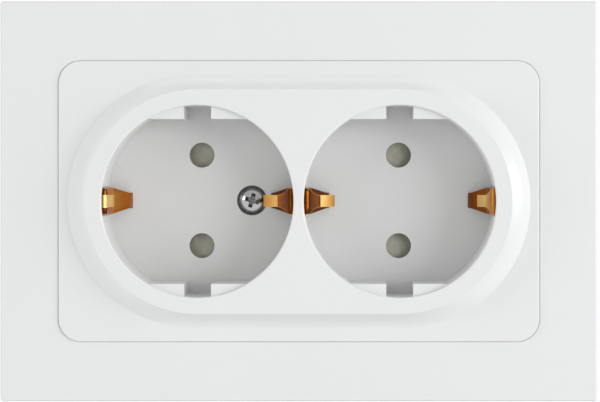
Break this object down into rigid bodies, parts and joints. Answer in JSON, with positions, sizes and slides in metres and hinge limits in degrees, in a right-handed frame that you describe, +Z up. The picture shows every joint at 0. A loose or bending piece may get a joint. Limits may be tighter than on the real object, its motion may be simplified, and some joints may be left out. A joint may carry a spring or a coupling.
{
  "type": "double wall socket",
  "caption": "Flush wall socket for earthed round-pin plugs: flat frame, raised rounded rim, deep round wells with brass earth clips, and sliding shutters behind the pin holes.",
  "frame": {"origin": "middle of the wall plane, halfway between the two box screws, on the mounting bracket's back face", "axes": "+X to the right along the pair of wells, +Z up, and -Y straight out of the wall towards the user"},
  "size_m": [0.123, 0.0427, 0.0828],
  "materials": {
    "white_plastic": "moulded white thermoplastic with a satin sheen",
    "grey_plastic": "moulded light grey heat-resisting plastic",
    "shutter_plastic": "moulded warm grey plastic, smooth on the sliding faces",
    "brass": "stamped and folded brass sheet, bright on the bends",
    "zinc_steel": "pressed steel with a zinc coat",
    "plated_steel": "nickel-plated steel",
    "spring_steel": "drawn spring wire"
  },
  "bodies": {
    "socket": {"outer_frame": "white_plastic", "cover_plate": "white_plastic", "cover_screw": "plated_steel", "cover_screw_insert": "brass", "earth_strip": "brass", "mounting_bracket": "zinc_steel", "bracket_rivets": "plated_steel", "contact_base": "grey_plastic", "left_shutter_spring": "spring_steel", "right_shutter_spring": "spring_steel", "line_rail": "brass", "neutral_rail": "brass", "line_clamp": "zinc_steel", "neutral_clamp": "zinc_steel", "earth_clamp": "zinc_steel", "line_terminal_screw": "plated_steel", "neutral_terminal_screw": "plated_steel", "earth_terminal_screw": "plated_steel", "rear_cover": "grey_plastic", "rear_cover_screws": "plated_steel"},
    "left_shutter": {"left_shutter": "shutter_plastic"},
    "right_shutter": {"right_shutter": "shutter_plastic"}
  },
  "joints": [
    {"name": "left_shutter_slide", "type": "slide", "parent": "socket", "child": "left_shutter", "axis": [1, 0, 0], "range_m": [0, 0.0062], "stiffness_N_per_m": 60, "springref_m": -0.002, "deforming": ["left_shutter_spring"]},
    {"name": "right_shutter_slide", "type": "slide", "parent": "socket", "child": "right_shutter", "axis": [-1, 0, 0], "range_m": [0, 0.0062], "stiffness_N_per_m": 60, "springref_m": -0.002, "deforming": ["right_shutter_spring"]}
  ]
}
